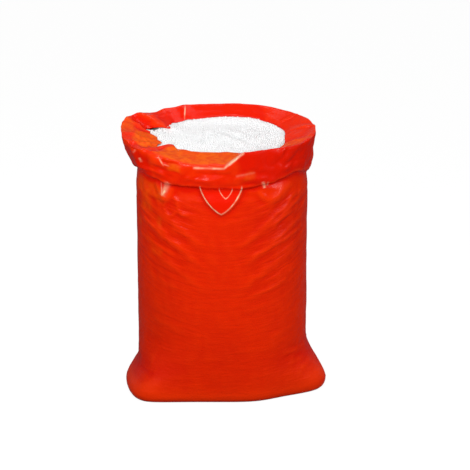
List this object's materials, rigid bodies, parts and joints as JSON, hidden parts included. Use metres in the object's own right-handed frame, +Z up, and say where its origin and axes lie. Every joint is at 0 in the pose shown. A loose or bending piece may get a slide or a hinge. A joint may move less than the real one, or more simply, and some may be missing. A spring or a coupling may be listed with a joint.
{
  "type": "open sack of polystyrene beads",
  "caption": "Open-topped plastic film sack with a gathered, turned-in collar, filled to the brim with small white foam beads.",
  "frame": {"origin": "middle of the flat base, under the middle of the filled body", "axes": "+Z up; the front, where the collar sags lowest, faces -Y; the bottom corners of the sack point along -X and +X"},
  "size_m": [0.6131, 0.3834, 0.8176],
  "materials": {
    "orange_film": "glossy translucent orange-red polyethylene film",
    "white_beads": "matt white expanded polystyrene"
  },
  "bodies": {
    "root": {"bead_fill": "white_beads", "film_bag": "orange_film", "loose_bead_01": "white_beads", "loose_bead_02": "white_beads", "loose_bead_03": "white_beads", "loose_bead_04": "white_beads", "loose_bead_05": "white_beads", "loose_bead_06": "white_beads", "loose_bead_07": "white_beads", "loose_bead_08": "white_beads", "loose_bead_09": "white_beads", "loose_bead_10": "white_beads", "loose_bead_11": "white_beads", "loose_bead_12": "white_beads", "loose_bead_13": "white_beads", "loose_bead_14": "white_beads", "loose_bead_15": "white_beads", "loose_bead_16": "white_beads", "loose_bead_17": "white_beads", "loose_bead_18": "white_beads", "loose_bead_19": "white_beads", "loose_bead_20": "white_beads", "loose_bead_21": "white_beads", "loose_bead_22": "white_beads", "loose_bead_23": "white_beads", "loose_bead_24": "white_beads"}
  },
  "joints": []
}
